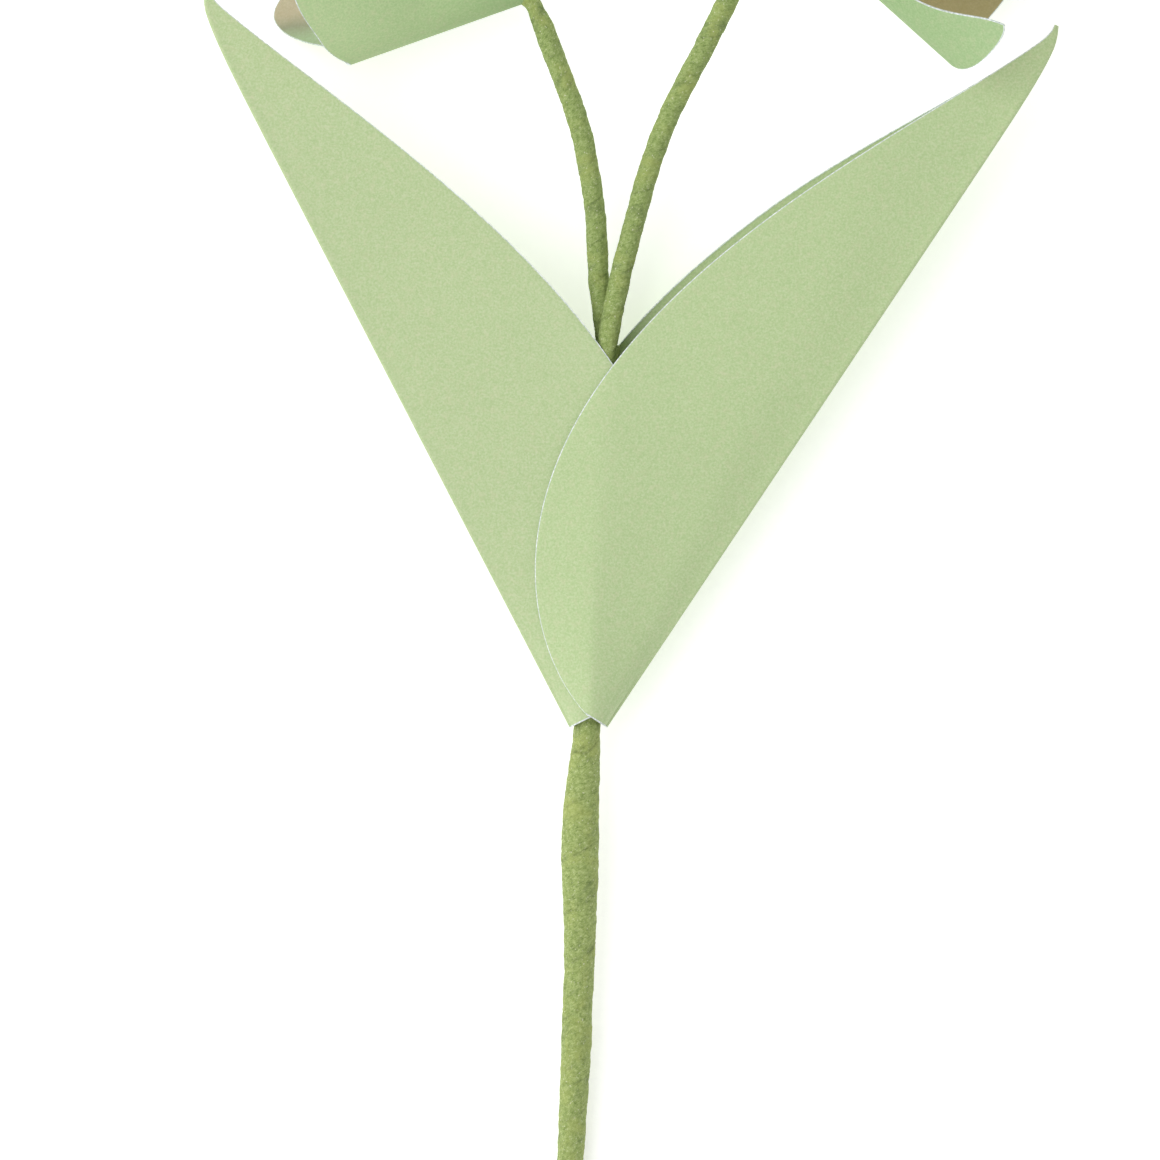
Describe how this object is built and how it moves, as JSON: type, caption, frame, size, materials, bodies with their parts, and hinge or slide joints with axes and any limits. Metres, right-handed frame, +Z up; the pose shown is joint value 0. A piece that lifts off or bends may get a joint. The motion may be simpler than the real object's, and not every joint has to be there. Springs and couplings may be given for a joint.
{
  "type": "paper flower",
  "caption": "Paper flower with two nodding green blooms on tape-wrapped wire branches and two long leaves of folded card, lying on its back.",
  "frame": {"origin": "under the middle of the whole flower, on the surface it lies on", "axes": "+Y runs from the foot of the stem towards the blooms, +Z up off the surface, +X to the right seen from above"},
  "size_m": [0.1368, 0.2338, 0.0356],
  "materials": {
    "leaf_card": "matte",
    "petal_card": "matte",
    "florist_tape": "matte, crepe",
    "steel_wire": "satin"
  },
  "bodies": {
    "root": {"left_branch_tape": "florist_tape", "left_inner_petal_1": "petal_card", "left_inner_petal_2": "petal_card", "left_inner_petal_3": "petal_card", "left_leaf": "leaf_card", "left_petal_far": "petal_card", "left_petal_low": "petal_card", "left_petal_near": "petal_card", "left_wire": "steel_wire", "main_stem_tape": "florist_tape", "right_branch_tape": "florist_tape", "right_inner_petal_1": "petal_card", "right_inner_petal_2": "petal_card", "right_inner_petal_3": "petal_card", "right_leaf": "leaf_card", "right_petal_far": "petal_card", "right_petal_low": "petal_card", "right_petal_near": "petal_card", "right_wire": "steel_wire"}
  },
  "joints": []
}
